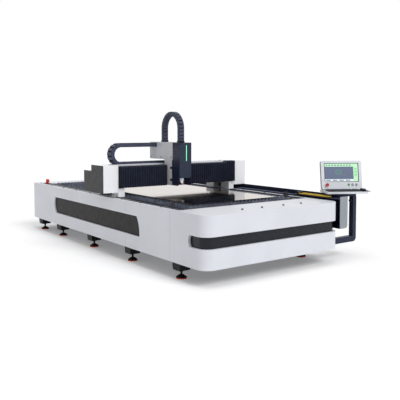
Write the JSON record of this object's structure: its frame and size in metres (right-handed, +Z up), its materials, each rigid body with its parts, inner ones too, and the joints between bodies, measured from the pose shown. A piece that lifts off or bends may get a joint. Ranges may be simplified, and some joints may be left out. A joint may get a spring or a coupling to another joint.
{
  "type": "fiber laser cutting machine",
  "caption": "Open-bed gantry laser cutter with a toothed slat table, pleated beam shields, energy chains and a swinging operator console on a C-arm.",
  "frame": {"origin": "centre of the whole machine's plan box, on the floor under the levelling feet", "axes": "+Y runs along the bed from the operator's end to the rear, +X to the operator's right, +Z up"},
  "size_m": [2.753, 4.7858, 1.8193],
  "materials": {
    "frame_paint": "satin grey-blue paint",
    "white_paint": "satin white powder coat",
    "black_sheet": "gloss black sheet",
    "dark_sheet": "matte dark grey sheet",
    "galvanised_steel": "galvanised sheet",
    "blue_black_steel": "blue-black painted steel",
    "cut_steel": "laser-cut mild steel with scale",
    "mirror_steel": "polished stainless sheet",
    "black_steel": "black steel",
    "orange_rubber": "orange-red rubber",
    "ground_steel": "ground steel",
    "red_rubber": "red rubber",
    "navy_paint": "navy powder coat",
    "grey_paint": "light grey paint",
    "chain_plastic": "glass-filled nylon links",
    "yellow_jacket": "yellow cable jacket",
    "cover_paint": "white powder coat, dark outer face",
    "motor_black": "black motor paint",
    "light_grey_paint": "light grey paint",
    "bellows_fabric": "coated pleated fabric",
    "gear_steel": "hardened gear steel",
    "black_plastic": "black plastic",
    "navy_cover": "dark navy satin paint",
    "green_light": "mint green light diffuser",
    "anodised_head": "clear anodised aluminium",
    "nozzle_white": "white ceramic and blue sensor body",
    "console_paint": "light grey powder coat",
    "screen_glass": "display glass",
    "red_plastic": "red plastic",
    "button_green": "green plastic",
    "button_grey": "grey plastic",
    "key_metal": "nickel-plated metal"
  },
  "bodies": {
    "bed": {"bed_frame": "frame_paint", "front_apron": "white_paint", "front_stripe": "black_sheet", "left_side_panel": "white_paint", "left_ear_panel": "dark_sheet", "right_side_panel": "white_paint", "rear_panel": "white_paint", "extraction_spigot": "galvanised_steel", "deck_covers": "white_paint", "slat_combs": "blue_black_steel", "slats": "cut_steel", "slag_trays": "galvanised_steel", "steel_sheet": "mirror_steel", "foot_brackets": "black_steel", "levelling_feet": "black_steel", "foot_rubbers": "orange_rubber", "y_guide_rails": "ground_steel", "end_stops": "red_rubber", "chain_trough": "navy_paint", "trough_end_plate": "grey_paint", "y_chain": "chain_plastic", "fibre_cable": "yellow_jacket", "console_post": "navy_paint"},
    "gantry": {"gantry_beam": "frame_paint", "gantry_feet": "white_paint", "y_guide_blocks": "ground_steel", "end_cover_left": "cover_paint", "end_cover_right": "cover_paint", "y_drives": "motor_black", "x_guide_rails": "ground_steel", "beam_top_cover": "light_grey_paint", "bellows_left": "bellows_fabric", "bellows_right": "bellows_fabric", "x_chain": "chain_plastic"},
    "left_pinion": {"y_pinion_left": "gear_steel"},
    "right_pinion": {"y_pinion_right": "gear_steel"},
    "carriage": {"carriage_frame": "light_grey_paint", "carriage_cover": "light_grey_paint", "carriage_knobs": "black_plastic", "x_drive": "motor_black", "z_guards": "navy_paint", "z_drive": "motor_black", "z_chain": "chain_plastic"},
    "head": {"z_slide": "ground_steel", "head_cover": "navy_cover", "light_strip": "green_light", "cutting_head": "anodised_head", "nozzle": "nozzle_white"},
    "console": {"upper_arm": "navy_paint", "keyboard_tray": "console_paint", "console_shell": "navy_cover", "console_bezel": "console_paint", "screen": "screen_glass", "keyboard": "black_plastic", "mouse": "black_plastic"},
    "stop": {"stop_button": "red_plastic"},
    "left_button": {"push_button_left": "button_green"},
    "right_button": {"push_button_right": "button_grey"},
    "key": {"key_switch": "key_metal"},
    "clamp": {"clamp_knob": "black_plastic"}
  },
  "joints": [
    {"name": "gantry_slide", "type": "slide", "parent": "bed", "child": "gantry", "axis": [0, 1, 0], "range_m": [-1.08, 1.92], "deforming": ["y_chain"]},
    {"name": "left_pinion_turn", "type": "hinge", "parent": "gantry", "child": "left_pinion", "pos_m": [-1.17499, -0.16709, 0.71], "axis": [0, 0, 1], "range_deg": [-3640.97, 6472.05]},
    {"name": "right_pinion_turn", "type": "hinge", "parent": "gantry", "child": "right_pinion", "pos_m": [0.69001, -0.16709, 0.71], "axis": [0, 0, 1], "range_deg": [-6472.05, 3640.97]},
    {"name": "carriage_slide", "type": "slide", "parent": "gantry", "child": "carriage", "axis": [1, 0, 0], "range_m": [-0.615, 0.87], "deforming": ["x_chain", "bellows_left", "bellows_right"]},
    {"name": "head_slide", "type": "slide", "parent": "carriage", "child": "head", "axis": [0, 0, 1], "range_m": [-0.125, 0.018], "deforming": ["z_chain"]},
    {"name": "console_swing", "type": "hinge", "parent": "bed", "child": "console", "pos_m": [1.23251, -2.12209, 0.752], "axis": [0, 0, 1], "range_deg": [-30, 90]},
    {"name": "stop_press", "type": "slide", "parent": "console", "child": "stop", "axis": [0.4924, 0.8529, -0.1736], "range_m": [0, 0.006], "stiffness_N_per_m": 1500},
    {"name": "left_button_press", "type": "slide", "parent": "console", "child": "left_button", "axis": [0.4924, 0.8529, -0.1736], "range_m": [0, 0.003], "stiffness_N_per_m": 800},
    {"name": "right_button_press", "type": "slide", "parent": "console", "child": "right_button", "axis": [0.4924, 0.8529, -0.1736], "range_m": [0, 0.003], "stiffness_N_per_m": 800},
    {"name": "key_turn", "type": "hinge", "parent": "console", "child": "key", "pos_m": [1.26152, -2.15185, 0.89615], "axis": [0.4924, 0.8529, -0.1736], "range_deg": [0, 90]},
    {"name": "clamp_turn", "type": "hinge", "parent": "bed", "child": "clamp", "pos_m": [1.20151, -2.12209, 0.7], "axis": [1, 0, 0], "range_deg": [0, 720]}
  ],
  "couplings": [
    {"joint": "left_pinion_turn", "follows": "gantry_slide", "rad_per_m": 58.824},
    {"joint": "right_pinion_turn", "follows": "gantry_slide", "rad_per_m": -58.824}
  ]
}
